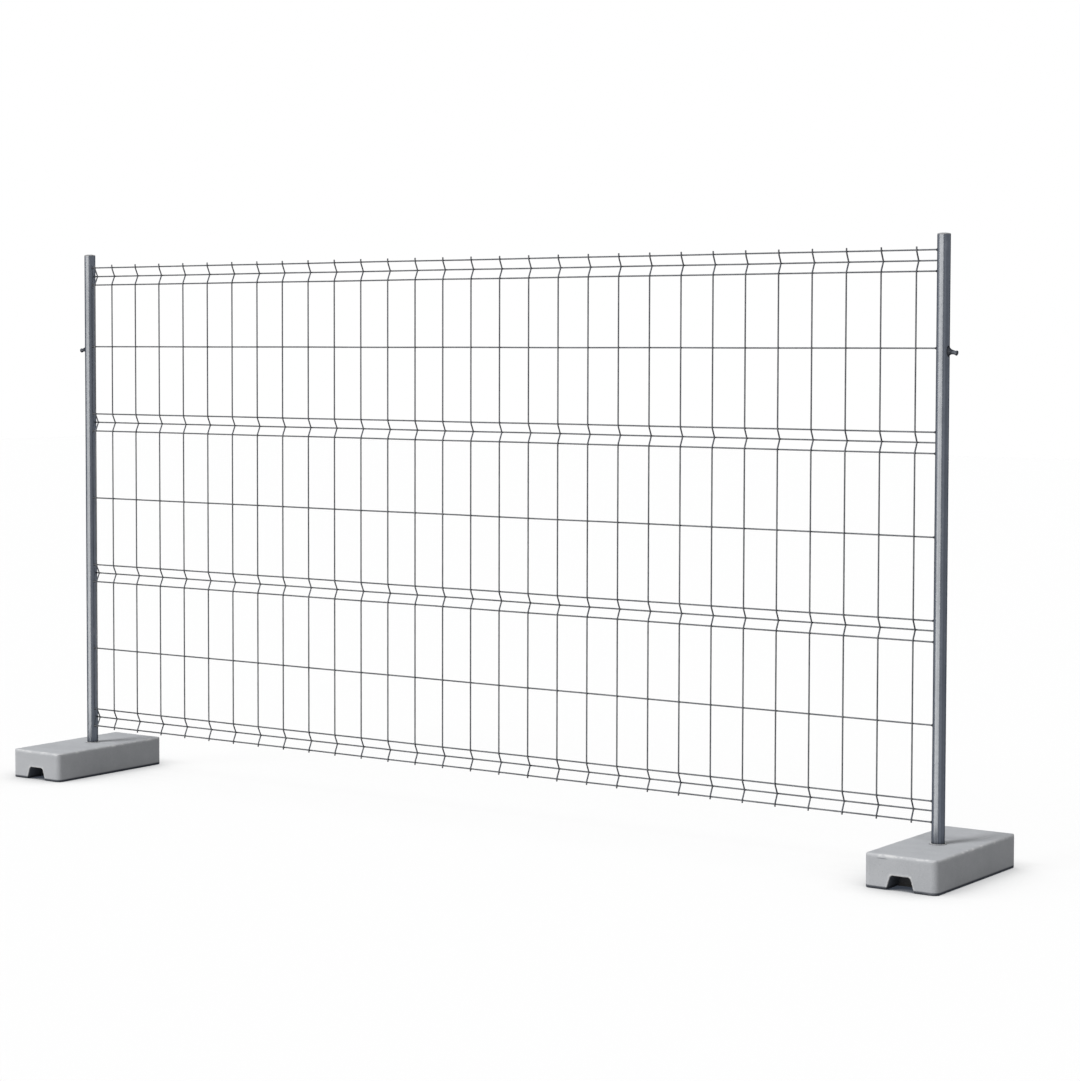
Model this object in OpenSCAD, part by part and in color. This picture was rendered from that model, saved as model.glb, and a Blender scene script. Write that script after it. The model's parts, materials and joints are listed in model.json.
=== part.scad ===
// Temporary fence panel: a folded mesh of welded wires between two tube posts,
// each post standing in the sleeved socket of a concrete foot.
// The origin is on the ground midway between the posts, with +X along the panel,
// +Y to the rear and +Z up. Sizes are in millimetres and angles in degrees.

/* [Posts] */
// Distance between the axes of the two posts
post_spacing = 3630; // [2400:10:3900]
// Outside diameter of a post
post_d = 42; // [38:1:60]
// Wall of the post's tube
post_wall = 2; // [1.5:0.5:4]
// Tube above the top line wire
post_above = 46; // [30:1:120]

/* [Post caps] */
// Straight side of the cap's head
cap_side = 3; // [2:0.5:8]
// Rise of the cap's dome above its side
cap_rise = 3; // [1:0.5:8]
// Length of the cap's plug inside the tube
cap_plug = 16; // [8:1:30]
// Gap between the plug and the tube
cap_fit = 0.2; // [0.1:0.05:0.5]

/* [Wires] */
// Diameter of the line wires that run from post to post
line_d = 5; // [4:0.5:8]
// Diameter of the folded upright wires
upright_d = 5; // [3:0.5:6]
// Pitch of the row of upright wires
pitch = 122; // [70:1:200]
// Gap between the left post and the edge upright beside it
edge_gap = 13; // [8:1:30]
// Distance from the edge upright to the first upright of the row
first_step = 90; // [60:1:150]
// Least gap between the last upright and the right post
last_gap = 20; // [10:1:60]
// Uprights above the top line wire
spike = 11; // [8:1:40]
// Uprights below the bottom line wire
tail = 8; // [4:1:20]
// Gap at each welded joint
weld_gap = 0.05; // [0.02:0.01:0.2]

/* [Folds] */
// Number of folds pressed across the mesh
folds = 4; // [2:1:5]
// Height of a fold between its outer bends
fold_h = 62; // [44:1:90]
// Depth of a fold from the flat of the mesh to its crest
fold_depth = 14; // [8:1:22]
// Offset of the folds' middle behind the post axes
fold_set = 1; // [-3:0.5:3]
// Swell of the bead at each bend of an upright, past the corner of the bent wire
bead_swell = 0.12; // [0.08:0.01:0.4]
// Gap from the top or bottom fold to the bay wire next to it
edge_bay = 237; // [120:1:300]
// Gap from any other fold to the bay wire next to it
inner_bay = 259; // [120:1:300]

/* [Pegs] */
// Diameter of a coupling peg between its neck and its head
peg_d = 11; // [8:1:13]
// Slope of a peg below the level
peg_slope = 13; // [0:1:40]
// Height of the post's top above the point where a peg would meet its axis
peg_drop = 353; // [200:1:600]
// Reach of a peg from the post's face, along the peg
peg_reach = 29; // [28:1:80]
// Diameter of the peg's head
head_d = 16; // [15:1:24]
// Thickness of the peg's head
head_l = 6; // [3:0.5:8]
// Chamfer of the head's edges
head_chamfer = 1; // [0.5:0.1:1.4]
// Diameter of the weld neck where it starts inside the post's face
neck_d = 33; // [24:1:36]
// Length of the weld neck outside the post's face, along the peg
neck_l = 14; // [10:1:20]
// Depth at which the weld neck starts inside the post's face
neck_sink = 8; // [6:0.5:12]

/* [Feet] */
// Width of a foot along the panel
foot_x = 250; // [180:1:320]
// Length of a foot across the panel
foot_y = 560; // [400:1:700]
// Height of a foot
foot_h = 108; // [90:1:160]
// Radius of a foot's upright edges
foot_edge_r = 22; // [6:1:25]
// Radius of a foot's top edges
foot_top_r = 10; // [4:1:16]
// Radius of a foot's bottom edges
foot_base_r = 6; // [2:1:8]
// Height of the bottom line wire above the top of the feet
mesh_lift = 66; // [30:1:120]

/* [Hand notches] */
// Width of a hand notch at the ground
notch_base_w = 95; // [70:1:130]
// Width of a hand notch at its roof
notch_roof_w = 66; // [50:1:100]
// Height of a hand notch
notch_h = 46; // [30:1:60]
// Depth of a hand notch into the foot
notch_depth = 80; // [40:1:120]
// Radius of the corners of a hand notch's roof
notch_r = 11; // [4:1:14]
// Width of the lip around the mouth of a hand notch
lip_w = 4; // [2:0.5:8]
// Height of the lip off the foot's end face
lip_out = 1.2; // [0.5:0.1:3]

/* [Sockets] */
// Distance of the socket from the middle of a foot, along the foot
socket_shift = 24; // [0:1:60]
// Depth of the socket in a foot
socket_depth = 76; // [50:1:85]
// Wall of the socket's sleeve
sleeve_wall = 2.5; // [2:0.5:6]
// Floor of the socket's sleeve
sleeve_floor = 4; // [2:0.5:8]
// Width of the sleeve's collar beyond its wall
collar_w = 2; // [1.5:0.5:10]
// Height of the sleeve's collar
collar_h = 1.2; // [0.8:0.2:6]
// Gap between a post and its sleeve
post_fit = 0.5; // [0.3:0.1:1.5]
// Gap between a sleeve and its foot
turn_gap = 0.3; // [0.2:0.1:1]
// Gap between the end of a post and its sleeve's floor
seat_gap = 0.3; // [0.2:0.1:1]

/* [Hidden] */
$fn = 48;
// Spare length of a cutting shape past the face that it cuts
past = 1;
// Swell of a notch's round corners past its roof and flanks, so that they cross cleanly
corner_swell = 0.05;
galvanised = [0.66, 0.68, 0.70];
bright_wire = [0.74, 0.75, 0.76];
concrete = [0.68, 0.68, 0.69];
grey_plastic = [0.50, 0.51, 0.53];

// Fold geometry, in the plane across the panel
fold_angle = atan(fold_depth / (fold_h / 2));
wire_step = (upright_d + line_d) / 2 + weld_gap;
bead_d = upright_d / cos(fold_angle) + 2 * bead_swell;
bead_step = (bead_d + line_d) / 2 + weld_gap;
line_rise = fold_h / 2 + max(wire_step * tan(fold_angle / 2), sqrt(pow(bead_step, 2) - pow(wire_step, 2)));
line_flat_y = fold_set - fold_depth / 2;
upright_flat_y = line_flat_y - wire_step;
upright_crest_y = upright_flat_y + fold_depth;
line_crest_y = upright_crest_y + bead_step;

// Gaps above and below the bay wire that follows fold i, counted from the top
function gap_above(i) = i == 0 ? edge_bay : inner_bay;
function gap_below(i) = i == folds - 2 ? edge_bay : inner_bay;
function bay_h(i) = 2 * line_rise + gap_above(i) + gap_below(i);
function bays_h(i) = i == 0 ? 0 : bays_h(i - 1) + bay_h(i - 1);

// Levels of the mesh, from the feet up
bottom_line_z = foot_h + mesh_lift;
mesh_h = bays_h(folds - 1) + 2 * line_rise;
top_line_z = bottom_line_z + mesh_h;
post_top_z = top_line_z + post_above;
function crest_z(i) = top_line_z - line_rise - bays_h(i);
function bay_wire_z(i) = crest_z(i) - line_rise - gap_above(i);

// Places along the panel
post_x = post_spacing / 2;
edge_upright_x = -post_x + post_d / 2 + edge_gap + upright_d / 2;
row_start_x = edge_upright_x + first_step;
row_end_x = post_x - post_d / 2 - last_gap - upright_d / 2;
upright_count = floor((row_end_x - row_start_x) / pitch) + 1;

// Socket and sleeve
sleeve_bore_d = post_d + 2 * post_fit;
sleeve_d = sleeve_bore_d + 2 * sleeve_wall;
socket_d = sleeve_d + 2 * turn_gap;
socket_floor_z = foot_h - socket_depth;
sleeve_bottom_z = socket_floor_z + turn_gap;
sleeve_top_z = foot_h + turn_gap + collar_h;
post_bottom_z = sleeve_bottom_z + sleeve_floor + seat_gap;

// Peg, measured from the post's axis along the peg
peg_z = post_top_z - peg_drop;
peg_face_s = post_d / 2 / cos(peg_slope);
neck_start_s = post_d / 2 - neck_sink;
neck_end_s = peg_face_s + neck_l;
peg_tip_s = peg_face_s + peg_reach;
head_start_s = peg_tip_s - head_l;

sides = [["left", -1], ["right", 1]];
fold_names = [for (i = [1 : 3 * folds]) str("fold_wire_", i)];
bay_names = [for (i = [1 : folds - 1]) str("bay_wire_", i)];
upright_names = [for (i = [1 : upright_count]) str("upright_wire_", i)];

// The bends of an upright wire from the bottom up, as [y, z]
upright_path = concat(
    [[upright_flat_y, bottom_line_z - tail]],
    [for (i = [folds - 1 : -1 : 0], k = [-1, 0, 1])
        [k == 0 ? upright_crest_y : upright_flat_y, crest_z(i) + k * fold_h / 2]],
    [[upright_flat_y, top_line_z + spike]]);

// Lean of stretch i of the path from the upright, towards +Y
function lean(path, i) = atan2(path[i + 1].x - path[i].x, path[i + 1].y - path[i].y);
// What bend i takes from the stretches beside it, so that they meet inside its bead
function bend_run(path, i, d) = i == 0 || i == len(path) - 1 ? 0
    : d / 2 * tan(abs(lean(path, i) - lean(path, i - 1)) / 2) + bead_swell / 2;

// A round wire along a path in the plane across the panel, with a bead at each bend
module bent_wire(path, d) {
    for (i = [0 : len(path) - 2]) {
        a = lean(path, i);
        start = bend_run(path, i, d);
        run = norm(path[i + 1] - path[i]) - start - bend_run(path, i + 1, d);
        translate([0, path[i].x + start * sin(a), path[i].y + start * cos(a)])
            rotate([-a, 0, 0]) cylinder(d = d, h = run);
    }
    for (i = [1 : len(path) - 2]) translate([0, path[i].x, path[i].y]) sphere(d = bead_d);
}

module upright_wire(x) {
    color(bright_wire) translate([x, 0, 0]) bent_wire(upright_path, upright_d);
}

// The space of a post, larger all round by the gap at its welds
module post_space() {
    translate([0, 0, post_bottom_z])
        cylinder(d = post_d + 2 * weld_gap, h = post_top_z - post_bottom_z);
}

module line_wire(y, z) {
    color(bright_wire) difference() {
        translate([-post_x, y, z]) rotate([0, 90, 0]) cylinder(d = line_d, h = post_spacing);
        for (s = sides) translate([s[1] * post_x, 0, 0]) post_space();
    }
}

module post() {
    color(galvanised) difference() {
        translate([0, 0, post_bottom_z]) cylinder(d = post_d, h = post_top_z - post_bottom_z);
        translate([0, 0, post_bottom_z - past])
            cylinder(d = post_d - 2 * post_wall, h = post_top_z - post_bottom_z + 2 * past);
    }
}

// Domed head on the end of the tube, with a plug inside it
module post_cap() {
    dome_r = (pow(post_d / 2, 2) + pow(cap_rise, 2)) / (2 * cap_rise);
    color(grey_plastic) translate([0, 0, post_top_z]) {
        intersection() {
            cylinder(d = post_d, h = cap_side + cap_rise);
            translate([0, 0, cap_side + cap_rise - dome_r]) sphere(r = dome_r);
        }
        translate([0, 0, -cap_plug])
            cylinder(d = post_d - 2 * post_wall - 2 * cap_fit, h = cap_plug + cap_side / 2);
    }
}

// Sloping round peg with a tapered weld neck and a head, for the post on the +X side
module peg() {
    color(galvanised) difference() {
        translate([0, 0, peg_z]) rotate([0, 90 + peg_slope, 0]) rotate_extrude() polygon([
            [0, neck_start_s],
            [neck_d / 2, neck_start_s],
            [peg_d / 2, neck_end_s],
            [peg_d / 2, head_start_s],
            [head_d / 2 - head_chamfer, head_start_s],
            [head_d / 2, head_start_s + head_chamfer],
            [head_d / 2, peg_tip_s - head_chamfer],
            [head_d / 2 - head_chamfer, peg_tip_s],
            [0, peg_tip_s]]);
        post_space();
    }
}

// Rectangle w by h standing on the X axis, with round corners at its top and bottom
module rounded_side(w, h, top_r, base_r) {
    difference() {
        translate([-w / 2, 0]) square([w, h]);
        for (m = [0, 1]) mirror([m, 0]) {
            translate([w / 2, h]) rotate(180) corner_waste(top_r);
            translate([w / 2, 0]) rotate(90) corner_waste(base_r);
        }
    }
}

// What a corner at the origin loses to a radius
module corner_waste(r) {
    difference() {
        translate([-past, -past]) square(r + past);
        translate([r, r]) circle(r = r);
    }
}

// Mouth of a hand notch, larger all round by grow, with a round-cornered roof
module notch_mouth(grow) {
    flank = (notch_base_w - notch_roof_w) / 2 / notch_h;
    flank_l = sqrt(1 + flank * flank);
    half_base = notch_base_w / 2 + grow * flank_l;
    roof = notch_h + grow;
    r = notch_r + grow;
    corner_x = half_base - flank * (roof - r) - r * flank_l;
    for (m = [0, 1]) mirror([m, 0]) {
        polygon([
            [0, -past],
            [half_base + flank * past, -past],
            [corner_x + r / flank_l, roof - r + r * flank / flank_l],
            [corner_x, roof - r],
            [corner_x, roof],
            [0, roof]]);
        translate([corner_x, roof - r]) circle(r = r + corner_swell);
    }
}

module foot_block() {
    intersection() {
        translate([0, foot_y / 2, 0]) rotate([90, 0, 0]) linear_extrude(foot_y)
            rounded_side(foot_x, foot_h, foot_top_r, foot_base_r);
        rotate([90, 0, 90]) translate([0, 0, -foot_x / 2]) linear_extrude(foot_x)
            rounded_side(foot_y, foot_h, foot_top_r, foot_base_r);
        translate([0, -foot_y / 2, 0]) linear_extrude(foot_h)
            rounded_side(foot_x, foot_y, foot_edge_r, foot_edge_r);
    }
}

// Raised lip around the mouth of the hand notch in the -Y end
module notch_lip() {
    translate([0, -foot_y / 2 + past, 0]) rotate([90, 0, 0]) linear_extrude(lip_out + past)
        intersection() {
            notch_mouth(lip_w);
            translate([-foot_x / 2, foot_base_r + past]) square([foot_x, foot_h]);
        }
}

// Foot with its socket on the Z axis and its longer end towards +Y
module foot() {
    color(concrete) translate([0, socket_shift, 0]) difference() {
        union() {
            foot_block();
            for (m = [0, 1]) mirror([0, m, 0]) notch_lip();
        }
        for (m = [0, 1]) mirror([0, m, 0])
            translate([0, -foot_y / 2 + notch_depth, 0]) rotate([90, 0, 0])
                linear_extrude(notch_depth + lip_out + past) notch_mouth(0);
        translate([0, -socket_shift, socket_floor_z]) cylinder(d = socket_d, h = socket_depth + past);
    }
}

// Lining of a foot's socket, with a floor and a collar on the foot's top
module sleeve() {
    color(grey_plastic) difference() {
        union() {
            translate([0, 0, sleeve_bottom_z]) cylinder(d = sleeve_d, h = sleeve_top_z - sleeve_bottom_z);
            translate([0, 0, sleeve_top_z - collar_h]) cylinder(d = sleeve_d + 2 * collar_w, h = collar_h);
        }
        translate([0, 0, sleeve_bottom_z + sleeve_floor])
            cylinder(d = sleeve_bore_d, h = sleeve_top_z - sleeve_bottom_z);
    }
}

for (s = sides) translate([s[1] * post_x, 0, 0]) {
    post();
    post_cap();
    mirror([s[1] < 0 ? 1 : 0, 0, 0]) peg();
    rotate(s[1] < 0 ? 180 : 0) foot();
    sleeve();
}
for (i = [0 : folds - 1], k = [-1, 0, 1])
    line_wire(k == 0 ? line_crest_y : line_flat_y, crest_z(i) - k * line_rise);
for (i = [0 : folds - 2])
    line_wire(line_flat_y, bay_wire_z(i));
upright_wire(edge_upright_x);  // edge_upright
for (i = [0 : upright_count - 1])
    upright_wire(row_start_x + i * pitch);
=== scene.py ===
import json
import math

import bpy
import numpy as np
from mathutils import Matrix, Vector


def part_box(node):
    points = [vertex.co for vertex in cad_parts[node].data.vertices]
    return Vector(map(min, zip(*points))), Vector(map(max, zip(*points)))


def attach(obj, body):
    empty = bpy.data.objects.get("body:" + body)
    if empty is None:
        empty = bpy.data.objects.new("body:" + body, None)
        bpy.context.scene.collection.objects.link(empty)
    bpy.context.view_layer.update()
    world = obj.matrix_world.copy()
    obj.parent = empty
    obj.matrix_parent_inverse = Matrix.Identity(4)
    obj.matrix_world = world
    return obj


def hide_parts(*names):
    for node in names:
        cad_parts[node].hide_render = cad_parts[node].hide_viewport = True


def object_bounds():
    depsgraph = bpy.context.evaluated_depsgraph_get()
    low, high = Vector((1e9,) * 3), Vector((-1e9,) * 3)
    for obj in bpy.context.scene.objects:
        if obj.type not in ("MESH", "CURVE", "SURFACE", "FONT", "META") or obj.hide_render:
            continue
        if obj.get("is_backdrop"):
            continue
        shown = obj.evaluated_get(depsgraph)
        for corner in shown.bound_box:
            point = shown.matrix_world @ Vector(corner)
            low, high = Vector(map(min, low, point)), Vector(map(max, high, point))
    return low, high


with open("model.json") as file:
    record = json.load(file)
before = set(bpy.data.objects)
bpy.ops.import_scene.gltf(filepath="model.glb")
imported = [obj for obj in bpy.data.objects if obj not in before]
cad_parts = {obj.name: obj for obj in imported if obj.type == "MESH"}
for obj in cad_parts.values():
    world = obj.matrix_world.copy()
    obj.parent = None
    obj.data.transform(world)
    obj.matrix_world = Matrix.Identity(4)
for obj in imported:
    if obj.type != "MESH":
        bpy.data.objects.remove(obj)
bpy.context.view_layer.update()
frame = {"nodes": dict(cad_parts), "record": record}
print("frame loaded:", len(frame["nodes"]), "nodes")

mm = 0.001
sharpAngle = math.radians(50)
sideNames = ("left", "right")


# Surfaces

def gridFaces(rows, columns, ringed=False):
    # quads between neighbouring rows of a grid whose columns close on themselves, and its rows too if ringed
    row, column = np.meshgrid(np.arange(rows if ringed else rows - 1), np.arange(columns), indexing="ij")
    beside = (column + 1) % columns
    above = (row + 1) % rows
    here, after = row * columns, above * columns
    corners = [here + column, here + beside, after + beside, after + column]
    return np.stack(corners, -1).reshape(-1, 4).tolist()


def endFaces(rows, columns):
    # one face over each end of such a grid
    last = (rows - 1) * columns
    return [list(range(columns))[::-1], list(range(last, last + columns))]


def closedFaces(rows, columns):
    return gridFaces(rows, columns) + endFaces(rows, columns)


def sweptTube(path, radius, sideways, columns):
    # a circle carried along a path: path + radius * (cos a * sideways + sin a * tangent x sideways)
    tangent = np.gradient(path, axis=0)
    tangent /= np.linalg.norm(tangent, axis=1, keepdims=True)
    across = np.broadcast_to(np.asarray(sideways, float), path.shape)
    upward = np.cross(tangent, across)
    angle = np.linspace(0, 2 * np.pi, columns, endpoint=False)
    size = np.broadcast_to(np.asarray(radius, float), (len(path),))[:, None, None]
    ring = across[:, None] * np.cos(angle)[None, :, None] + upward[:, None] * np.sin(angle)[None, :, None]
    points = (path[:, None] + size * ring).reshape(-1, 3)
    return points, closedFaces(len(path), columns)


def joined(shapes):
    # several shapes as one list of points and faces
    points, faces, start = [], [], 0
    for shapePoints, shapeFaces in shapes:
        points.append(shapePoints)
        faces += [[corner + start for corner in face] for face in shapeFaces]
        start += len(shapePoints)
    return np.concatenate(points), faces


def addPiece(name, points, faces, material, body, standsFor=(), marks=None):
    mesh = bpy.data.meshes.new(name)
    mesh.from_pydata(points.tolist(), [], faces)
    return finishPiece(name, mesh, material, body, standsFor, marks)


def finishPiece(name, mesh, material, body, standsFor=(), marks=None):
    mesh.polygons.foreach_set("use_smooth", np.ones(len(mesh.polygons), bool))
    mesh.set_sharp_from_angle(angle=sharpAngle)
    for key, values in (marks or {}).items():
        mesh.attributes.new(key, "FLOAT", "POINT").data.foreach_set("value", values.astype(np.float32))
    mesh.materials.clear()
    mesh.materials.append(material)
    mesh.update()
    piece = bpy.data.objects.new(name, mesh)
    bpy.context.scene.collection.objects.link(piece)
    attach(piece, body)
    if standsFor:
        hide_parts(*standsFor)
    return piece


# Shader sums

class Val:                                    # a socket that works in sums like a number
    def __init__(self, nodes, socket):
        self.nodes, self.socket = nodes, socket

    def math(self, operation, *values):
        return self.nodes.make("Math", {"operation": operation}, dict(enumerate(values)))

    def __add__(self, other):
        return self.math("ADD", self, other)

    def __mul__(self, other):
        return self.math("MULTIPLY", self, other)

    def __sub__(self, other):
        return self.math("SUBTRACT", self, other)

    def __rsub__(self, other):
        return self.math("SUBTRACT", other, self)

    __radd__ = __add__
    __rmul__ = __mul__


class Nodes:                                  # the nodes of one material or of the world
    def __init__(self, tree):
        self.tree = tree

    def feed(self, socket, value):
        if isinstance(value, Val):
            self.tree.links.new(value.socket, socket)
        else:
            socket.default_value = value

    def make(self, kind, settings=None, sockets=None, out=0):
        node = self.tree.nodes.new("ShaderNode" + kind)
        for key, value in (settings or {}).items():
            setattr(node, key, value)
        for key, value in (sockets or {}).items():
            self.feed(node.inputs[key], value)
        return Val(self, node.outputs[out])

    def place(self):
        return self.make("TexCoord", out="Object")

    def stretched(self, vector, scale):
        return self.make("Mapping", {"vector_type": "POINT"}, {"Vector": vector, "Scale": scale})

    def noise(self, vector, scale, detail=4.0, rough=0.55):
        sockets = {"Vector": vector, "Scale": scale, "Detail": detail, "Roughness": rough}
        return self.make("TexNoise", {}, sockets)

    def cells(self, vector, scale, out="Distance"):
        return self.make("TexVoronoi", {"feature": "F1"}, {"Vector": vector, "Scale": scale}, out)

    def ramp(self, value, low, high, toLow=0.0, toHigh=1.0, kind="LINEAR"):
        # from toLow to toHigh while value goes from low to high
        sockets = {"Value": value, "From Min": low, "From Max": high, "To Min": toLow, "To Max": toHigh}
        return self.make("MapRange", {"interpolation_type": kind}, sockets)

    def ease(self, value, low, high, toLow=0.0, toHigh=1.0):
        return self.ramp(value, low, high, toLow, toHigh, "SMOOTHSTEP")

    def blend(self, share, first, second):
        sockets = {0: share, 6: first, 7: second}
        return self.make("Mix", {"data_type": "RGBA"}, sockets, 2)

    def mark(self, key):
        return self.make("Attribute", {"attribute_name": key}, out="Fac")

    def bump(self, height, strength, distance):
        return self.make("Bump", {}, {"Height": height, "Strength": strength, "Distance": distance})


def newMaterial(name):
    material = bpy.data.materials.new(name)
    material.use_nodes = True
    nodes = Nodes(material.node_tree)
    nodes.shader = material.node_tree.nodes["Principled BSDF"]
    return material, nodes


def setShader(nodes, **sockets):
    # each value goes to the shader socket of that name, written without its spaces
    byName = {socket.name.replace(" ", ""): socket for socket in nodes.shader.inputs}
    for key, value in sockets.items():
        nodes.feed(byName[key], value)


def colour(red, green, blue):
    return (red, green, blue, 1.0)


def grey(level):
    return colour(level, level, level)


# Materials

# soil: painted contact shade at the post's foot, with some dirt
zinc = {"tubeDeep": colour(0.104, 0.117, 0.142), "tubePale": colour(0.152, 0.169, 0.202),
        "wireDeep": colour(0.050, 0.055, 0.065), "wirePale": colour(0.084, 0.091, 0.105),
        "pegDeep": colour(0.028, 0.033, 0.043), "pegPale": colour(0.082, 0.092, 0.112),
        "weldDeep": colour(0.018, 0.020, 0.026), "weldPale": colour(0.075, 0.081, 0.094),
        "heat": colour(0.022, 0.024, 0.030), "bloom": colour(0.250, 0.258, 0.275),
        "soil": colour(0.020, 0.021, 0.024), "edgeTint": colour(0.08, 0.08, 0.10), "metal": 0.6}


def galvanisedTube():
    material, n = newMaterial("galvanisedTube")
    at = n.place()
    grain = n.make("SeparateColor", {}, {0: n.cells(at, 120.0, "Color")})
    streak = n.noise(n.stretched(at, (170.0, 170.0, 0.4)), 1.0, 2.0)
    cloud = n.noise(at, 7.0, 5.0)
    tone = n.ease(0.66 * streak + 0.28 * cloud + 0.06 * grain, 0.36, 0.64)
    base = n.blend(tone, zinc["tubeDeep"], zinc["tubePale"])
    whiteRust = n.ease(n.noise(n.stretched(at, (30.0, 30.0, 7.0)), 1.0, 7.0, 0.65), 0.62, 0.76)
    base = n.blend(whiteRust * 0.35, base, zinc["bloom"])
    heat = n.mark("heat")
    base = n.blend(n.ease(heat + 0.3 * cloud, 0.35, 0.95) * 0.85, base, zinc["heat"])
    # painted contact shade with some dirt: darker just above the foot's top, near black below it
    base = n.blend(n.mark("soil") * 0.9, base, zinc["soil"])
    rough = n.ease(streak + 0.4 * whiteRust + 0.8 * heat, 0.3, 1.2, 0.24, 0.5)
    height = 0.6 * n.noise(at, 240.0, 3.0) + 0.4 * grain
    setShader(n, BaseColor=base, Roughness=rough, Metallic=zinc["metal"], SpecularIORLevel=0.0,
              SpecularTint=zinc["edgeTint"], Normal=n.bump(height, 0.03, 0.0005))
    return material


def galvanisedWire():
    material, n = newMaterial("galvanisedWire")
    at = n.place()
    drawn = n.noise(at, 60.0, 6.0)
    patch = n.noise(at, 6.0, 4.0)
    base = n.blend(n.ease(0.5 * drawn + 0.5 * patch, 0.36, 0.64), zinc["wireDeep"], zinc["wirePale"])
    heat = n.mark("heat")
    base = n.blend(n.ease(heat + 0.3 * drawn, 0.30, 1.0) * 0.8, base, zinc["heat"])
    rough = n.ease(drawn + heat, 0.3, 1.3, 0.38, 0.66)
    setShader(n, BaseColor=base, Roughness=rough, Metallic=zinc["metal"], SpecularIORLevel=0.0,
              SpecularTint=zinc["edgeTint"], Normal=n.bump(n.noise(at, 700.0, 3.0), 0.15, 0.0003))
    return material


def galvanisedPeg():
    material, n = newMaterial("galvanisedPeg")
    at = n.place()
    patch = n.noise(at, 130.0, 6.0)
    scuff = n.ease(n.noise(n.stretched(at, (60.0, 400.0, 400.0)), 1.0, 4.0), 0.54, 0.74)
    base = n.blend(n.ease(patch, 0.35, 0.65), zinc["pegDeep"], zinc["pegPale"])
    base = n.blend(scuff * 0.25, base, zinc["bloom"])
    scale = n.noise(at, 420.0, 6.0, 0.65)
    bead = n.mark("weld")
    base = n.blend(bead * n.ease(scale, 0.3, 0.6), base, zinc["weldDeep"])
    rough = n.ease(patch - 0.3 * scuff + 0.5 * bead, 0.2, 1.0, 0.48, 0.8)
    setShader(n, BaseColor=base, Roughness=rough, Metallic=zinc["metal"], SpecularIORLevel=0.0,
              SpecularTint=zinc["edgeTint"], Normal=n.bump(scale, 0.3, 0.0006))
    return material


def weldMetal():
    material, n = newMaterial("weldMetal")
    at = n.place()
    scale = n.noise(at, 420.0, 6.0, 0.65)
    tint = n.noise(at, 90.0, 3.0)
    base = n.blend(n.ease(scale, 0.35, 0.65), zinc["weldDeep"], zinc["weldPale"])
    base = n.blend(n.ease(tint, 0.58, 0.75) * 0.25, base, zinc["bloom"])
    setShader(n, BaseColor=base, Roughness=n.ease(scale, 0.3, 0.7, 0.45, 0.8), Metallic=zinc["metal"],
              SpecularIORLevel=0.0, SpecularTint=zinc["edgeTint"], Normal=n.bump(scale, 0.5, 0.0007))
    return material


# soil: painted shade with some dirt along the bottom edges; damp: painted shade inside the notch
cast = {"deep": colour(0.405, 0.418, 0.440), "pale": colour(0.500, 0.513, 0.535),
        "lime": colour(0.68, 0.685, 0.69), "pore": colour(0.20, 0.20, 0.21),
        "damp": colour(0.080, 0.092, 0.116), "soil": colour(0.058, 0.066, 0.083)}


def castConcrete():
    material, n = newMaterial("castConcrete")
    at = n.place()
    cloud = n.noise(at, 5.0, 6.0, 0.55)
    trowel = n.noise(n.stretched(at, (7.0, 26.0, 26.0)), 1.0, 3.0)
    sand = n.noise(at, 620.0, 3.0, 0.6)
    grit = n.noise(at, 230.0, 2.0)
    tone = n.ease(0.4 * cloud + 0.12 * trowel + 0.2 * sand + 0.28 * grit, 0.36, 0.64)
    base = n.blend(tone, cast["deep"], cast["pale"])
    fleck = n.ease(n.noise(n.stretched(at, (30.0, 30.0, 60.0)), 1.0, 4.0), 0.5, 0.62)
    base = n.blend(n.mark("wear") * (0.25 + 0.65 * fleck), base, cast["lime"])
    some = n.ease(n.noise(at, 14.0, 2.0), 0.52, 0.62)
    pore = n.ease(n.cells(at, 95.0), 0.08, 0.15, 1.0, 0.0) * some
    base = n.blend(pore * 0.6, base, cast["pore"])
    base = n.blend(n.mark("lip"), base, cast["lime"])
    # painted shade on the walls inside the notch
    base = n.blend(n.mark("hollow") * 0.95, base, cast["damp"])
    # painted shade with some dirt along the bottom edges, and the scratch on one end face
    base = n.blend(n.mark("soil") * n.ease(cloud, 0.05, 0.45), base, cast["soil"])
    height = 0.25 * trowel + 0.35 * sand - 0.7 * pore
    setShader(n, BaseColor=base, Roughness=n.ease(sand, 0.3, 0.7, 0.78, 0.94), SpecularIORLevel=0.2,
              Normal=n.bump(height, 0.25, 0.0010))
    return material


def mouldedPlastic(name, deep, pale, soil):
    material, n = newMaterial(name)
    at = n.place()
    haze = n.noise(at, 35.0, 5.0)
    grit = n.noise(at, 900.0, 2.0)
    scuff = n.ease(n.noise(n.stretched(at, (300.0, 80.0, 80.0)), 1.0, 5.0), 0.56, 0.72)
    base = n.blend(n.ease(haze, 0.35, 0.65), deep, pale)
    base = n.blend(scuff * 0.3, base, grey(0.5))
    base = n.blend(n.ease(haze + grit, 1.0, 1.3) * 0.4, base, soil)
    rough = n.ease(haze + 0.4 * scuff, 0.3, 0.9, 0.45, 0.7)
    setShader(n, BaseColor=base, Roughness=rough, SpecularIORLevel=0.35, Normal=n.bump(grit, 0.2, 0.0003))
    return material


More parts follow.
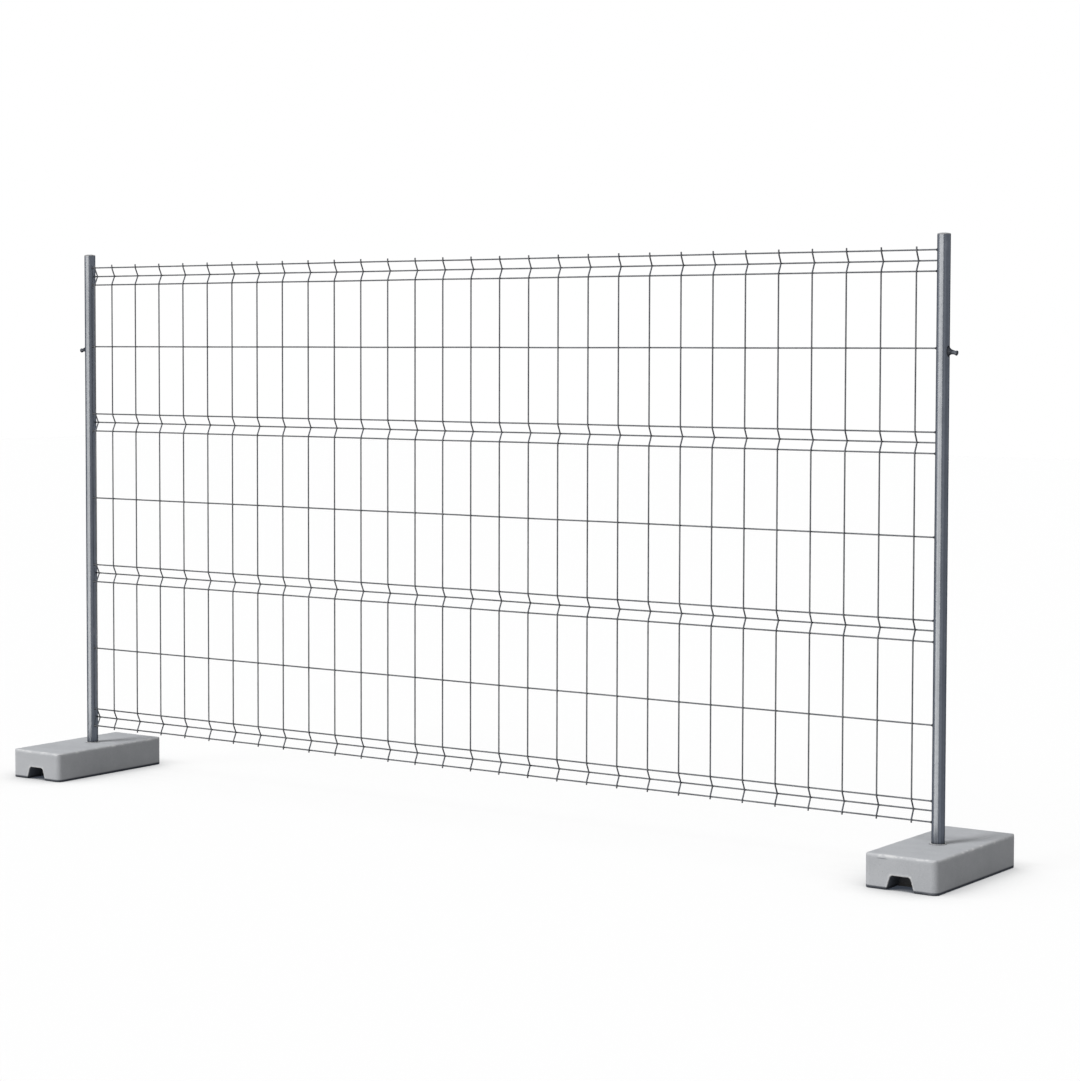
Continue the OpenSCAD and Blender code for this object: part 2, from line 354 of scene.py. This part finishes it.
plastic = {"capDeep": colour(0.27, 0.278, 0.295), "capPale": colour(0.37, 0.378, 0.394),
           "sleeveDeep": colour(0.46, 0.468, 0.48), "sleevePale": colour(0.56, 0.567, 0.575),
           "grime": colour(0.12, 0.118, 0.112)}
tubeFinish = galvanisedTube()
wireFinish = galvanisedWire()
pegFinish = galvanisedPeg()
weldFinish = weldMetal()
concreteFinish = castConcrete()
capFinish = mouldedPlastic("capPlastic", plastic["capDeep"], plastic["capPale"], plastic["grime"])
sleeveFinish = mouldedPlastic("sleevePlastic", plastic["sleeveDeep"], plastic["sleevePale"], plastic["grime"])
print("materials ready")

# Places, read from the frame

postBox = {side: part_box(side + "_post") for side in sideNames}
postX = {side: (low.x + high.x) / 2 for side, (low, high) in postBox.items()}
postRadius = (postBox["left"][1].x - postBox["left"][0].x) / 2
postBottom, postTop = postBox["left"][0].z, postBox["left"][1].z
inward = {"left": 1, "right": -1}
lineNames = sorted(name for name in frame["nodes"] if name.startswith(("fold_wire_", "bay_wire_")))
lineAxis = {}
for name in lineNames:
    low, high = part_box(name)
    lineAxis[name] = np.array([(low.y + high.y) / 2, (low.z + high.z) / 2])
lineRadius = (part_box(lineNames[0])[1].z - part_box(lineNames[0])[0].z) / 2
uprightNames = sorted(name for name in frame["nodes"] if "upright" in name)
uprightX = {name: (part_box(name)[0].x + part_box(name)[1].x) / 2 for name in uprightNames}
uprightLow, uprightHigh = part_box(uprightNames[0])
bendRadius = (uprightHigh.x - uprightLow.x) / 2
flatY, foldDepth = uprightLow.y + bendRadius, uprightHigh.y - uprightLow.y - 2 * bendRadius
crestZ = np.array([lineAxis["fold_wire_%d" % k][1] for k in (2, 5, 8, 11)])
weldLevels = np.array([lineAxis[name] for name in lineNames])
crossings = np.array(sorted(uprightX.values()))
mountNamed = {mount["name"]: mount for mount in frame["record"]["mounts"]}
pegMount = {side: mountNamed[side + "_peg"] for side in sideNames}
seeded = np.random.default_rng(7)


# Posts

post = {"columns": 72, "rowStep": 4 * mm, "wall": 2 * mm, "seamRidge": 0.15 * mm,
        "seamTurn": math.radians(118), "seamWidth": 0.05, "heatReach": 11 * mm, "pegHeatReach": 24 * mm,
        "soilReach": 5 * mm}


def postTube(side):
    # radius by turn and height: the tube's own plus a low seam ridge, closed over its wall at both ends
    height = np.linspace(postBottom, postTop, int((postTop - postBottom) / post["rowStep"]) + 1)
    turn = np.linspace(0, 2 * np.pi, post["columns"], endpoint=False)
    away = np.angle(np.exp(1j * (turn - post["seamTurn"]))) / post["seamWidth"]
    seam = post["seamRidge"] * np.exp(-away ** 2)
    outer = postRadius - post["seamRidge"] + seam
    inner = np.full_like(turn, postRadius - post["wall"])
    size = np.vstack([inner, np.tile(outer, (len(height), 1)), inner])
    level = np.concatenate([height[:1], height, height[-1:]])
    points = np.stack([postX[side] + size * np.cos(turn), size * np.sin(turn),
                       np.repeat(level[:, None], post["columns"], 1)], -1).reshape(-1, 3)
    heat = np.zeros(len(points))
    for y, z in weldLevels:
        spot = np.array([postX[side] + inward[side] * math.sqrt(postRadius ** 2 - y ** 2), y, z])
        heat = np.maximum(heat, np.exp(-(np.linalg.norm(points - spot, axis=1) / post["heatReach"]) ** 2))
    pegSpot = np.array([postX[side] - inward[side] * postRadius, 0, pegLevel(side)])
    heat = np.maximum(heat, np.exp(-(np.linalg.norm(points - pegSpot, axis=1) / post["pegHeatReach"]) ** 2))
    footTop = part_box(side + "_foot")[1].z
    # painted contact shade with some dirt where the post meets the foot, full below the foot's top
    soil = np.exp(-(np.maximum(points[:, 2] - footTop, 0) / post["soilReach"]) ** 2)
    faces = gridFaces(len(level), post["columns"], ringed=True)
    addPiece(side + "PostTube", points, faces, tubeFinish, "panel", [side + "_post"],
             {"heat": heat, "soil": soil})


def pegLine(side):
    # the peg's start on the post's axis, its direction, and the way along it to the middle of its head
    axis, spot = np.array(pegMount[side]["axis"]), np.array(pegMount[side]["pos_m"])
    along = (spot[0] - postX[side]) / axis[0]
    return spot - along * axis, axis, along


def pegLevel(side):
    # height at which the peg's axis meets the post's surface
    start, axis, along = pegLine(side)
    return start[2] + postRadius * axis[2] / abs(axis[0])


for side in sideNames:
    postTube(side)
print("posts done")

# Post caps

cap = {"columns": 48, "domeRows": 9, "domePower": 3.0, "edge": 0.5 * mm, "plug": 16 * mm, "plugGap": 0.2 * mm,
       "domeInner": 0.3, "pip": 3.2 * mm, "pipSink": 0.5 * mm, "pipFloor": 0.7}


def postCap(side):
    # a profile turned about the post's axis: plug, rim, and a dome that falls with a power of the way out
    low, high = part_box(side + "_post_cap")
    rimTop = postTop + (high.z - postTop) / 2
    plugRadius = postRadius - post["wall"] - cap["plugGap"]
    out = np.linspace(1, cap["domeInner"], cap["domeRows"])
    dome = rimTop + (high.z - rimTop) * (1 - out ** cap["domePower"])
    edge, plugEnd = cap["edge"], postTop - cap["plug"]
    radius = [plugRadius - edge, plugRadius, plugRadius, postRadius - edge, postRadius, postRadius]
    level = [plugEnd, plugEnd + edge, postTop, postTop, postTop + edge, rimTop - edge]
    radius = np.concatenate([radius, postRadius * out - edge, [cap["pip"], cap["pipFloor"] * cap["pip"]]])
    level = np.concatenate([level, dome, [high.z, high.z - cap["pipSink"]]])
    turn = np.linspace(0, 2 * np.pi, cap["columns"], endpoint=False)
    points = np.stack([postX[side] + np.outer(radius, np.cos(turn)), np.outer(radius, np.sin(turn)),
                       np.repeat(level[:, None], cap["columns"], 1)], -1).reshape(-1, 3)
    faces = closedFaces(len(level), cap["columns"])
    addPiece(side + "PostCap", points, faces, capFinish, "panel", [side + "_post_cap"])


for side in sideNames:
    postCap(side)
print("caps done")

# Pegs

peg = {"columns": 40, "filletRows": 10, "toe": 19.5 * mm, "toeSide": 14 * mm, "toeLumps": 0.03,
       "leg": 20 * mm, "sink": 0.3 * mm, "ripples": 17, "rippleSize": 0.25 * mm, "shank": 6.3 * mm,
       "headLength": 6 * mm, "headRows": 12, "headEdge": 0.35, "headTilt": (-0.44, 0.47), "headPower": 0.6}


def pegShape(side):
    # a weld fillet from post to shank, each of its lines a parabola, then the shank and a rounded head
    start, axis, along = pegLine(side)
    turn = np.linspace(0, 2 * np.pi, peg["columns"], endpoint=False)
    across = np.array([0.0, 1.0, 0.0])
    radial = np.outer(np.cos(turn), across) + np.outer(np.sin(turn), np.cross(axis, across))

    def onPost(radius):
        # where lines along the peg, at this distance from its axis, meet the post
        reach = np.sqrt((postRadius - peg["sink"]) ** 2 - (radius * radial[:, 1]) ** 2) * np.sign(axis[0])
        way = (reach - radius * radial[:, 0]) / axis[0]
        return start + way[:, None] * axis + (radius * radial.T).T

    lumps = 1 + peg["toeLumps"] * (np.sin(3 * turn + 1.0) + 0.5 * np.sin(7 * turn))
    toeRadius = peg["toeSide"] + (peg["toe"] - peg["toeSide"]) * np.sin(turn) ** 2
    toe, corner = onPost(toeRadius * lumps), onPost(np.full_like(turn, peg["shank"]))
    top = corner + peg["leg"] * axis
    share = np.linspace(0, 1, peg["filletRows"])[:, None, None]
    fillet = (1 - share) ** 2 * toe + 2 * share * (1 - share) * corner + share ** 2 * top
    ripple = peg["rippleSize"] * np.sin(peg["ripples"] * turn)[:, None] * radial
    fillet = fillet + 4 * share * (1 - share) * ripple
    tilt = np.pi * np.linspace(*peg["headTilt"], peg["headRows"])
    way = along + peg["headLength"] / 2 * np.sign(np.sin(tilt)) * np.abs(np.sin(tilt)) ** peg["headPower"]
    headRadius = pegMount[side]["dims"]["r_mm"] * mm
    size = np.maximum(headRadius * np.cos(tilt) ** peg["headEdge"], np.where(tilt < 0, peg["shank"], 0))
    head = start + way[:, None, None] * axis + size[:, None, None] * radial
    rows = np.concatenate([fillet, head])
    bead = np.repeat(np.concatenate([(1 - share[:, 0, 0]) ** 0.5, np.zeros(len(head))]), peg["columns"])
    faces = closedFaces(len(rows), peg["columns"])
    addPiece(side + "Peg", rows.reshape(-1, 3), faces, pegFinish, "panel", [side + "_peg"],
             {"weld": bead})


for side in sideNames:
    pegShape(side)
print("pegs done")

# Line wires

lineWire = {"columns": 14, "rows": 241, "sink": 1.5 * mm, "sway": 0.35 * mm, "heatReach": 6 * mm,
            "weldSteps": np.array([-9, -5, -2, 2, 5, 9]) * mm}


def heatNear(x):
    # mark that falls off with the distance to the nearest crossing
    return np.exp(-(np.abs(x[:, None] - crossings).min(1) / lineWire["heatReach"]) ** 2)


for index, name in enumerate(lineNames):
    # a straight axis from post to post, with a sway of two sines that is nil at both ends
    y, z = lineAxis[name]
    end = postX["right"] - math.sqrt(postRadius ** 2 - y ** 2) + lineWire["sink"]
    x = np.unique(np.concatenate([np.linspace(-end, end, lineWire["rows"])]
                                 + [crossings + step for step in lineWire["weldSteps"]]))
    share = np.pi * (x + end) / (2 * end)
    sway = lineWire["sway"] * np.sin(share) * np.sin(9 * share + index)
    path = np.stack([x, y + 0 * x, z + sway], -1)
    points, faces = sweptTube(path, lineRadius, (0, 1, 0), lineWire["columns"])
    marks = {"heat": np.repeat(heatNear(x), lineWire["columns"])}
    addPiece("lineWire." + name, points, faces, wireFinish, "panel", [name], marks)
print("line wires done")

# Upright wires

upright = {"radius": 2.5 * mm, "columns": 12, "softness": 3 * mm, "foldHeight": 62 * mm, "chamfer": 0.7 * mm,
           "heatReach": 6 * mm,
           "spread": np.array([-16, -10, -7, -5, -3.5, -2, -1, 0, 1, 2, 3.5, 5, 7, 10, 16]) * mm}


def foldLine(z):
    # each fold is half its slope times |z - top| - 2 |z - crest| + |z - bottom|, softened at its corners
    half, soft = upright["foldHeight"] / 2, upright["softness"]
    slope = foldDepth / (math.hypot(half, soft) - soft)
    away = z[:, None] - crestZ
    bend = np.hypot(away - half, soft) - 2 * np.hypot(away, soft) + np.hypot(away + half, soft)
    return flatY + slope / 2 * bend.sum(1)


def uprightRows():
    # rows close together at each bend and each weld, and at both ends
    half = upright["foldHeight"] / 2
    bends = (crestZ[:, None] + np.array([-half, 0, half])).ravel()
    rows = (np.concatenate([bends, weldLevels[:, 1]])[:, None] + upright["spread"]).ravel()
    ends = (uprightLow.z, uprightHigh.z)
    rows = rows[(rows > ends[0] + mm) & (rows < ends[1] - mm)]
    chamfer = upright["chamfer"]
    return np.unique(np.round(np.concatenate([rows, ends, (ends[0] + chamfer, ends[1] - chamfer)]), 5))


rowZ = uprightRows()
rowRadius = np.full_like(rowZ, upright["radius"])
rowRadius[[0, -1]] -= upright["chamfer"]
rowHeat = np.exp(-(np.abs(rowZ[:, None] - weldLevels[:, 1]).min(1) / upright["heatReach"]) ** 2)
for name in uprightNames:
    path = np.stack([uprightX[name] + 0 * rowZ, foldLine(rowZ), rowZ], -1)
    points, faces = sweptTube(path, rowRadius, (1, 0, 0), upright["columns"])
    marks = {"heat": np.repeat(rowHeat, upright["columns"])}
    addPiece("upright." + name, points, faces, wireFinish, "panel", [name], marks)
print("upright wires done:", len(uprightNames))

# Welds

weld = {"spotRows": 5, "spotColumns": 8, "spot": (3.5 * mm, 2.0 * mm, 3.5 * mm), "spotSpread": (0.85, 1.1),
        "collarRows": 6, "collarColumns": 16, "collarFoot": 6.0 * mm, "collarReach": 7 * mm, "collarSink": 2 * mm,
        "collarBite": 0.2 * mm, "collarLumps": 0.12, "collarLimit": 0.98}


def weldSpots():
    # squashed balls, one between each upright and each line wire
    turn = np.linspace(0, 2 * np.pi, weld["spotColumns"], endpoint=False)
    tilt = np.linspace(-np.pi / 2, np.pi / 2, weld["spotRows"] + 2)[1:-1]
    ball = np.stack([np.outer(np.cos(tilt), np.cos(turn)), np.repeat(np.sin(tilt)[:, None], len(turn), 1),
                     np.outer(np.cos(tilt), -np.sin(turn))], -1).reshape(-1, 3)
    faces = closedFaces(weld["spotRows"], weld["spotColumns"])
    shapes = []
    for y, z in weldLevels:
        between = (y + foldLine(np.array([z]))[0]) / 2
        for x in crossings:
            size = np.array(weld["spot"]) * seeded.uniform(*weld["spotSpread"], 3)
            shapes.append((ball * size + np.array([x, between, z]), faces))
    points, faces = joined(shapes)
    addPiece("crossingWelds", points, faces, weldFinish, "panel")


def endCollars(side):
    # a cone that flares from wire to post: its radius falls with the square of the way out along the wire
    turn = np.linspace(0, 2 * np.pi, weld["collarColumns"], endpoint=False)
    out = np.linspace(0, 1, weld["collarRows"])[:, None]
    tip = lineRadius - weld["collarBite"]
    faces = closedFaces(weld["collarRows"], weld["collarColumns"])
    shapes = []
    for y, z in weldLevels:
        lumps = 1 + weld["collarLumps"] * np.sin(3 * turn + seeded.uniform(0, 6))
        flare = tip + (weld["collarFoot"] * lumps - tip) * (1 - out) ** 2
        ringY = y + flare * np.cos(turn)
        limit = weld["collarLimit"] * postRadius
        surface = np.sqrt(postRadius ** 2 - np.clip(ringY, -limit, limit) ** 2)
        along = surface - weld["collarSink"] + (weld["collarReach"] + weld["collarSink"]) * out
        ring = [postX[side] + inward[side] * along, ringY, z + inward[side] * flare * np.sin(turn)]
        shapes.append((np.stack(ring, -1).reshape(-1, 3), faces))
    points, faces = joined(shapes)
    addPiece(side + "WireWelds", points, faces, weldFinish, "panel")


weldSpots()
for side in sideNames:
    endCollars(side)
print("welds done")

# Feet

foot = {"mergeReach": 0.01 * mm, "voxel": 2.3 * mm, "smoothing": 3, "smoothShare": 0.5, "lipOut": 1.2 * mm,
        "chips": 30, "chipSize": (4 * mm, 10 * mm), "chipDepth": 1.1 * mm, "chipShare": (0.3, 1.0),
        "chipEdge": 0.7, "wave": 0.3 * mm, "waveLength": 70 * mm,
        "wearReach": 7 * mm, "soilReach": (7 * mm, 11 * mm), "lipReach": 4 * mm, "lipFace": 1.5 * mm,
        "notchBase": 95 * mm, "notchRoof": 66 * mm, "notchHeight": 46 * mm,
        "hollowFrom": (1 * mm, 5 * mm), "hollowWall": 3 * mm, "hollowEnd": 84 * mm,
        "socketRoom": 1.2 * mm, "socketRadius": 26 * mm, "socketFloor": 20 * mm,
        "collarRadius": 28 * mm, "seatDrop": 0.5 * mm, "seatReach": 4 * mm,
        "scratchSide": "right", "scratch": (-61 * mm, 95 * mm), "scratchSize": (17 * mm, 1.6 * mm),
        "scratchShare": 0.6}


def evenBlock(side):
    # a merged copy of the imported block, remeshed evenly and relaxed
    helper = bpy.data.objects.new(side + "FootHelper", frame["nodes"][side + "_foot"].data.copy())
    bpy.context.scene.collection.objects.link(helper)
    merge = helper.modifiers.new("merge", "WELD")
    merge.merge_threshold = foot["mergeReach"]
    remesh = helper.modifiers.new("even", "REMESH")
    remesh.mode = "VOXEL"
    remesh.voxel_size = foot["voxel"]
    relax = helper.modifiers.new("relax", "SMOOTH")
    relax.factor = foot["smoothShare"]
    relax.iterations = foot["smoothing"]
    block = bpy.data.meshes.new_from_object(helper.evaluated_get(bpy.context.evaluated_depsgraph_get()))
    bpy.data.objects.remove(helper)
    return block


def castFoot(side):
    # the even block, moved along its normals by waves and by chips on its edges, with room at its socket
    low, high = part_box(side + "_foot")
    block = evenBlock(side)
    count = len(block.vertices)
    points = np.empty(count * 3)
    normals = np.empty(count * 3)
    block.vertices.foreach_get("co", points)
    block.vertices.foreach_get("normal", normals)
    points, normals = points.reshape(-1, 3), normals.reshape(-1, 3)
    centre = np.array([postX[side], (low.y + high.y) / 2, 0])
    local = points - centre
    half = np.array([(high.x - low.x) / 2, (high.y - low.y) / 2 - foot["lipOut"], high.z])
    depth = half - np.stack([np.abs(local[:, 0]), np.abs(local[:, 1]), local[:, 2]], -1)
    wear = np.exp(-(depth[:, 2] ** 2 + depth[:, :2].min(1) ** 2) / foot["wearReach"] ** 2)
    wear /= wear.max()
    run = local / foot["waveLength"]
    waves = np.sin(run[:, 0] + 1.7) * np.sin(1.3 * run[:, 1]) + np.sin(0.8 * run[:, 1] + 2.1 * run[:, 2])
    move = foot["wave"] * (waves / 2 - 1)
    for spot in seeded.choice(np.flatnonzero(wear > foot["chipEdge"]), foot["chips"]):
        size = seeded.uniform(*foot["chipSize"])
        near = np.clip(1 - (np.linalg.norm(points - points[spot], axis=1) / size) ** 2, 0, 1)
        move -= foot["chipDepth"] * seeded.uniform(*foot["chipShare"]) * near * size / foot["chipSize"][1]
    points = points + normals * move[:, None]
    local = points - centre
    fromPost = points - np.array([postX[side], 0, 0])
    around = np.hypot(fromPost[:, 0], fromPost[:, 1])
    socket = (around < foot["socketRadius"]) & (local[:, 2] > foot["socketFloor"]) & (around > mm)
    points[socket, :2] += fromPost[socket, :2] / around[socket, None] * foot["socketRoom"]
    seat = (around < foot["collarRadius"]) & (local[:, 2] > high.z - foot["seatReach"])
    points[seat, 2] -= foot["seatDrop"]
    points[:, 2] = np.maximum(points[:, 2], low.z)
    block.vertices.foreach_set("co", points.ravel())
    # painted shade with some dirt, darker towards the ground; the scratch shares this mark
    soil = 1 - eased(local[:, 2], *foot["soilReach"])
    if side == foot["scratchSide"]:
        away = (local[:, [0, 2]] - np.array(foot["scratch"])) / np.array(foot["scratchSize"])
        scratch = (local[:, 1] < 0) * np.exp(-(away ** 4).sum(1))
        soil = np.maximum(soil, foot["scratchShare"] * scratch)
    marks = {"wear": wear, **notchMarks(local, half), "soil": soil}
    finishPiece(side + "CastFoot", block, concreteFinish, side + "_foot", [side + "_foot"], marks)
    return count


def eased(value, low, high):
    # smooth step from 0 to 1 while value goes from low to high
    share = np.clip((value - low) / (high - low), 0, 1)
    return share * share * (3 - 2 * share)


def notchMarks(local, half):
    # lip: near the notch's outline on the two end faces; hollow: on the walls inside the notch, where shade is
    # painted
    lean = (foot["notchRoof"] - foot["notchBase"]) / 2
    flank = foot["notchBase"] / 2 + lean * local[:, 2] / foot["notchHeight"]
    outside = np.maximum(np.abs(local[:, 0]) - flank, local[:, 2] - foot["notchHeight"])
    sunk = half[1] - np.abs(local[:, 1])
    lip = (sunk < foot["lipFace"]) * np.exp(-(outside / foot["lipReach"]) ** 2)
    hollow = eased(sunk, *foot["hollowFrom"]) * (outside < foot["hollowWall"]) * (sunk < foot["hollowEnd"])
    return {"lip": lip, "hollow": hollow}


for side in sideNames:
    print("cast foot", side, castFoot(side), "points")

# Finishes of the nodes

nodeFinish = {"galvanised_tube": tubeFinish, "galvanised_wire": wireFinish, "galvanised_peg": pegFinish,
              "concrete": concreteFinish, "cap_plastic": capFinish, "sleeve_plastic": sleeveFinish}
for entry in frame["record"]["subparts"]:
    node = frame["nodes"][entry["node"]]
    node.data.materials.clear()
    node.data.materials.append(nodeFinish[entry["material_slot"]])
print("node finishes set")

# Floor, light and camera

studio = {"floorSize": 60.0, "bounce": 0.38, "ambient": 0.42, "litShare": 0.12, "nearReach": 0.34,
          "nearSamples": 16, "nearFade": (0.5, 0.95, 0.6, 1.0), "nearDark": (0.26, 0.5),
          "nearTint": colour(0.034, 0.041, 0.055)}
# radiance of a white card that faces the lamp, disc in degrees, direction of its light
lamps = {"key": {"level": 0.75, "angle": 20.0, "towards": (0.41, 0.91, -1.0), "colour": (1.0, 1.0, 1.0)},
         "metalBox": {"level": 1.7, "angle": 72.0, "towards": (0.334, 0.943, 0.07),
                      "colour": (1.0, 0.9, 0.74), "onMetal": True}}


def seenRays(n):
    # 1 for rays from the camera and for reflected or refracted rays
    path = n.make("LightPath", out="Is Camera Ray")
    rays = path.socket.node.outputs
    both = path.math("MAXIMUM", path, Val(n, rays["Is Glossy Ray"]))
    return both.math("MAXIMUM", both, Val(n, rays["Is Transmission Ray"]))


def paleFloor():
    # a grey that throws light back; seen directly or in reflections it only dims the white behind it by its
    # shadow, so that a foot lowered off its post stays in sight
    size = studio["floorSize"] / 2
    mesh = bpy.data.meshes.new("floor")
    corners = [(-size, -size, 0), (size, -size, 0), (size, size, 0), (-size, size, 0)]
    mesh.from_pydata(corners, [], [(0, 1, 2, 3)])
    floor = bpy.data.objects.new("floor", mesh)
    bpy.context.scene.collection.objects.link(floor)
    material, n = newMaterial("paleFloor")
    setShader(n, BaseColor=grey(studio["bounce"]), Roughness=1.0, SpecularIORLevel=0.0)
    reach = {"Distance": studio["nearReach"]}
    clear = n.make("AmbientOcclusion", {"samples": studio["nearSamples"]}, reach, "AO")
    near = n.ramp(clear, *studio["nearFade"]) * n.ease(clear, *studio["nearDark"])
    white = grey(1 - studio["litShare"])
    glass = n.make("BsdfTransparent", {}, {"Color": n.blend(near, studio["nearTint"], white)})
    lit = n.make("BsdfDiffuse", {}, {"Color": grey(studio["litShare"])})
    pane = n.make("AddShader", {}, {0: lit, 1: glass})
    shown = n.make("MixShader", {}, {0: seenRays(n), 1: Val(n, n.shader.outputs[0]), 2: pane})
    n.feed(material.node_tree.nodes["Material Output"].inputs["Surface"], shown)
    mesh.materials.append(material)
    floor.visible_shadow = False
    floor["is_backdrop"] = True
    return floor


def lightStudio(floor):
    world = bpy.data.worlds.new("studio")
    bpy.context.scene.world = world
    world.use_nodes = True
    n = Nodes(world.node_tree)
    # the dim light comes from above alone, because the floor lets light through
    height = n.make("SeparateXYZ", {}, {0: n.make("TexCoord", out="Generated")}, 2)
    sky = height.math("GREATER_THAN", height, 0.0) * studio["ambient"]
    dim = n.make("Background", {}, {"Color": colour(1.0, 1.0, 1.0), "Strength": sky})
    bright = n.make("Background", {}, {"Color": colour(1.0, 1.0, 1.0), "Strength": 1.0})
    mixed = n.make("MixShader", {}, {0: seenRays(n), 1: dim, 2: bright})
    n.feed(world.node_tree.nodes["World Output"].inputs["Surface"], mixed)
    unshadowed = bpy.data.collections.new("unshadowed")     # what doesn't stand in the metal box's light
    unshadowed.objects.link(floor)
    unshadowed.collection_objects[0].light_linking.link_state = "EXCLUDE"
    for name, lamp in lamps.items():
        light = bpy.data.lights.new(name, "SUN")
        light.energy = math.pi * lamp["level"]
        light.color = lamp["colour"]
        light.angle = math.radians(lamp["angle"])
        holder = bpy.data.objects.new(name, light)
        holder.rotation_euler = Vector(lamp["towards"]).to_track_quat("-Z", "Y").to_euler()
        bpy.context.scene.collection.objects.link(holder)
        if lamp.get("onMetal"):
            holder.visible_diffuse = False
            holder.light_linking.blocker_collection = unshadowed


photoCamera = {"spot": (5.424, -7.347, 1.6366), "yaw": -34.867, "pitch": -2.836, "roll": 0.1407,
               "focal": 2626.4, "centre": (540.0, 480.0), "picture": (1080, 1081), "sensor": 36.0,
               "farthest": 200.0}


def placeCamera():
    # axes from yaw, pitch and roll; the lens and the shift put the optical axis on the photo's own centre
    yaw, pitch, roll = (math.radians(photoCamera[key]) for key in ("yaw", "pitch", "roll"))
    ahead = np.array([math.sin(yaw) * math.cos(pitch), math.cos(yaw) * math.cos(pitch), math.sin(pitch)])
    level = np.array([math.cos(yaw), -math.sin(yaw), 0.0])
    above = np.cross(level, ahead)
    right = math.cos(roll) * level + math.sin(roll) * above
    top = math.cos(roll) * above - math.sin(roll) * level
    data = bpy.data.cameras.new("photoCamera")
    long = max(photoCamera["picture"])
    data.sensor_fit = "AUTO"
    data.sensor_width = photoCamera["sensor"]
    data.lens = photoCamera["focal"] / long * photoCamera["sensor"]
    data.shift_x = (photoCamera["picture"][0] / 2 - photoCamera["centre"][0]) / long
    data.shift_y = (photoCamera["centre"][1] - photoCamera["picture"][1] / 2) / long
    data.clip_end = photoCamera["farthest"]
    camera = bpy.data.objects.new("photoCamera", data)
    rows = [[right[i], top[i], -ahead[i], photoCamera["spot"][i]] for i in range(3)]
    camera.matrix_world = Matrix(rows + [[0, 0, 0, 1]])
    bpy.context.scene.collection.objects.link(camera)
    bpy.context.scene.camera = camera


lightStudio(paleFloor())
placeCamera()
bpy.context.scene.view_settings.view_transform = "Standard"

low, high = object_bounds()
